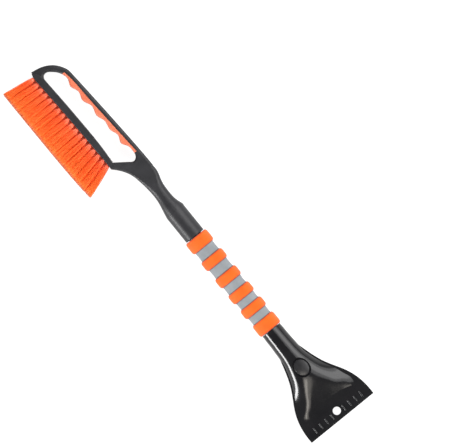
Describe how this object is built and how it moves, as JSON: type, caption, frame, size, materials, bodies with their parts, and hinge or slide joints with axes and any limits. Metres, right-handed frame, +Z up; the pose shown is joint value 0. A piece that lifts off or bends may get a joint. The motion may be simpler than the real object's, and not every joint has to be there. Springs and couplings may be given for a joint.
{
  "type": "snow brush scraper",
  "caption": "Snow brush with a looped finger grip, foam-covered pole and a detachable flared ice scraper with a release button.",
  "frame": {"origin": "centre of the object's footprint as it lies flat, on the floor", "axes": "+X along the pole towards the scraper edge, +Y away from the bristles, +Z up, the side with the release button"},
  "size_m": [0.6864, 0.1477, 0.0386],
  "materials": {
    "frame_plastic": "charcoal moulded plastic, fine grain",
    "grip_rubber": "soft orange overmould",
    "bristle_nylon": "orange nylon bristle",
    "staple_steel": "flat wire",
    "tube_aluminium": "drawn tube, black anodised",
    "screw_steel": "zinc plated",
    "inner_plastic": "plain inner moulding",
    "spring_steel": "spring temper",
    "foam_orange": "closed-cell foam, orange",
    "foam_grey": "closed-cell foam, grey",
    "scraper_plastic": "glossy black",
    "button_plastic": "glossy black"
  },
  "bodies": {
    "handle": {"brush_frame": "frame_plastic", "loop_grip": "grip_rubber", "bristle_row_1": "bristle_nylon", "bristle_row_2": "bristle_nylon", "bristle_row_3": "bristle_nylon", "bristle_row_4": "bristle_nylon", "tuft_anchors": "staple_steel", "handle_tube": "tube_aluminium", "neck_screw": "screw_steel", "tube_end_cap": "inner_plastic", "snap_spring": "spring_steel", "foam_orange_1": "foam_orange", "foam_orange_2": "foam_orange", "foam_orange_3": "foam_orange", "foam_orange_4": "foam_orange", "foam_orange_5": "foam_orange", "foam_orange_6": "foam_orange", "foam_grey_1": "foam_grey", "foam_grey_2": "foam_grey", "foam_grey_3": "foam_grey", "foam_grey_4": "foam_grey", "foam_grey_5": "foam_grey"},
    "scraper": {"scraper_front_shell": "scraper_plastic", "scraper_back_shell": "scraper_plastic", "socket_sleeve": "inner_plastic", "shell_screws": "screw_steel"},
    "button": {"release_button": "button_plastic"}
  },
  "joints": [
    {"name": "scraper_pull", "type": "slide", "parent": "handle", "child": "scraper", "axis": [1, 0, 0], "range_m": [0, 0.09]},
    {"name": "button_press", "type": "slide", "parent": "scraper", "child": "button", "axis": [0, 0, -1], "range_m": [0, 0.002], "stiffness_N_per_m": 900, "springref_m": -0.002, "deforming": ["snap_spring"]}
  ]
}
